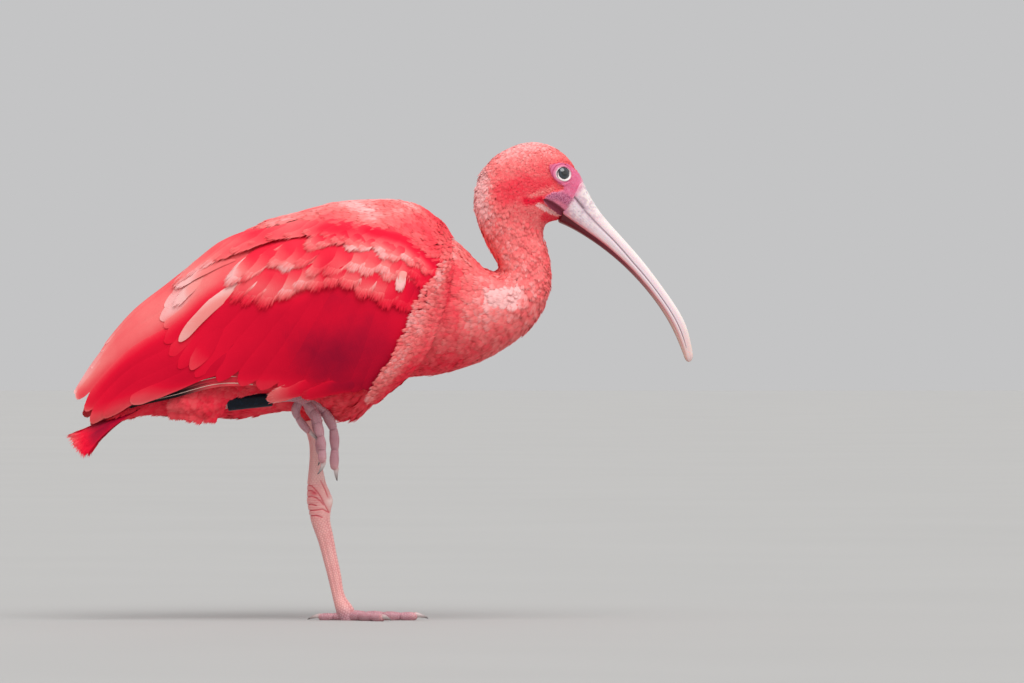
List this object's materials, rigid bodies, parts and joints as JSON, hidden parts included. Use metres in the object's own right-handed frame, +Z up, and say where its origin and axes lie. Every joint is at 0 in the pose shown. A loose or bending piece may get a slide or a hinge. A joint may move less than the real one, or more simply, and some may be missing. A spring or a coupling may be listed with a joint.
{
  "type": "scarlet ibis model",
  "caption": "Life-size still model of an adult scarlet ibis standing on one leg, the other leg drawn up, with long down-curved bill and folded wings.",
  "frame": {"origin": "on the floor, in the middle of the flat underside of the standing (left) foot, where the toes meet", "axes": "+X forwards, the way the bird and its bill point; +Y to the bird's left, across the body; +Z up"},
  "size_m": [0.471, 0.1216, 0.3591],
  "materials": {
    "plumage": "matte, scarlet",
    "horn": "satin, pale pinkish horn",
    "leg": "satin, mauve pink, scaled",
    "claw": "satin, dark horn",
    "eye": "glossy, nearly black",
    "band": "satin, dark blue"
  },
  "bodies": {
    "root": {"head": "plumage", "neck": "plumage", "torso": "plumage", "tail": "plumage", "wing_left": "plumage", "wing_right": "plumage", "bill_upper": "horn", "bill_lower": "horn", "eye_left": "eye", "eye_right": "eye", "thigh_left": "plumage", "shin_left": "leg", "tarsus_left": "leg", "tarsus_right": "leg", "leg_band": "band", "toe_left_middle": "leg", "claw_left_middle": "claw", "toe_left_outer": "leg", "claw_left_outer": "claw", "toe_left_inner": "leg", "claw_left_inner": "claw", "toe_left_hind": "leg", "claw_left_hind": "claw", "toe_right_middle": "leg", "claw_right_middle": "claw", "toe_right_outer": "leg", "claw_right_outer": "claw", "toe_right_inner": "leg", "claw_right_inner": "claw", "toe_right_hind": "leg", "claw_right_hind": "claw"}
  },
  "joints": []
}
